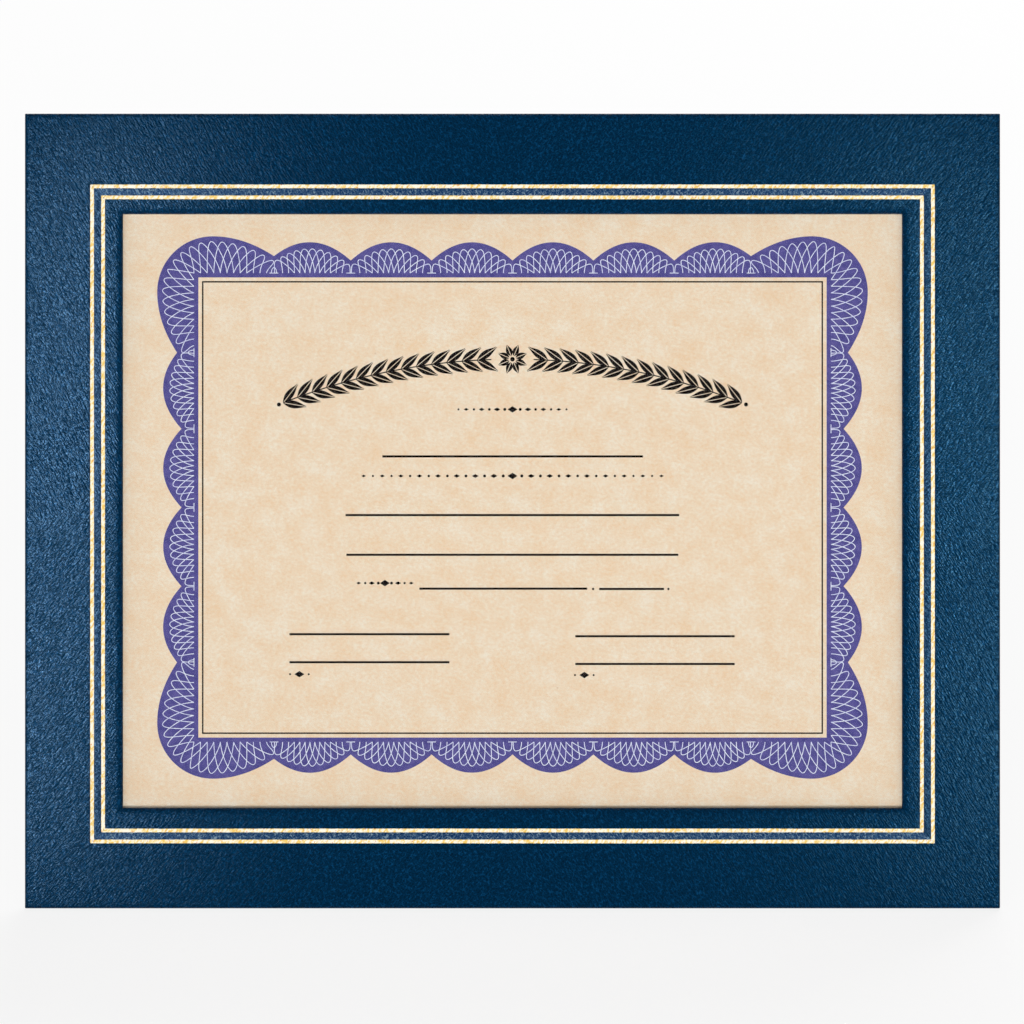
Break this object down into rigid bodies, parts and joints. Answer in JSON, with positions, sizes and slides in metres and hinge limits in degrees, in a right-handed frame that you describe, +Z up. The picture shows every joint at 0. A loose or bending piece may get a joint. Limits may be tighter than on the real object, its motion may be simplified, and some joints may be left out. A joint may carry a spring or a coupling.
{
  "type": "certificate holder",
  "caption": "Padded leatherette frame with foil lines, a clear window and a top-loading pocket for a landscape letter sheet, standing on a hinged easel leg.",
  "frame": {"origin": "on the table, below the middle of the whole object as it stands on its open leg", "axes": "+X across the frame to the viewer's right, +Y from the front to the back, +Z up; the panel leans back 15 degrees"},
  "size_m": [0.3334, 0.102, 0.2632],
  "materials": {
    "leatherette": "pebbled, satin",
    "gold_foil": "stamped foil, mottled",
    "foam": "matte",
    "grey_board": "matte",
    "card": "matte",
    "acetate": "clear film",
    "certificate_paper": "parchment, matte",
    "black_paper": "fine embossed, matte",
    "steel": "zinc plated",
    "rivet_brass": "plated, satin",
    "ribbon": "woven"
  },
  "bodies": {
    "holder": {"leatherette_cover": "leatherette", "gold_foil_line_outer": "gold_foil", "gold_foil_line_inner": "gold_foil", "foam_padding": "foam", "front_board": "grey_board", "acetate_window": "acetate", "pocket_spacer_left": "card", "pocket_spacer_right": "card", "pocket_spacer_bottom": "card", "back_board": "grey_board", "back_liner": "black_paper", "hinge_frame_leaf": "steel", "hinge_pin": "steel", "hinge_frame_rivet_left": "rivet_brass", "hinge_frame_rivet_right": "rivet_brass", "limit_ribbon": "ribbon", "hanger_strap": "steel", "hanger_rivet": "rivet_brass"},
    "sheet": {"certificate": "certificate_paper"},
    "ring": {"hanger_ring": "steel"},
    "easel_leg": {"leg_board": "grey_board", "leg_outer_paper": "black_paper", "leg_inner_paper": "black_paper", "hinge_leg_leaf": "steel", "hinge_leg_rivet_left": "rivet_brass", "hinge_leg_rivet_right": "rivet_brass"}
  },
  "joints": [
    {"name": "leg_fold", "type": "hinge", "parent": "holder", "child": "easel_leg", "pos_m": [0, 0.0049, 0.16711], "axis": [1, 0, 0], "range_deg": [-30, 0], "deforming": ["limit_ribbon"]},
    {"name": "sheet_slide", "type": "slide", "parent": "holder", "child": "sheet", "axis": [0, 0.2588, 0.9659], "range_m": [0, 0.245]},
    {"name": "ring_swing", "type": "hinge", "parent": "holder", "child": "ring", "pos_m": [0, 0.01667, 0.21365], "axis": [1, 0, 0], "range_deg": [-10, 165]}
  ]
}
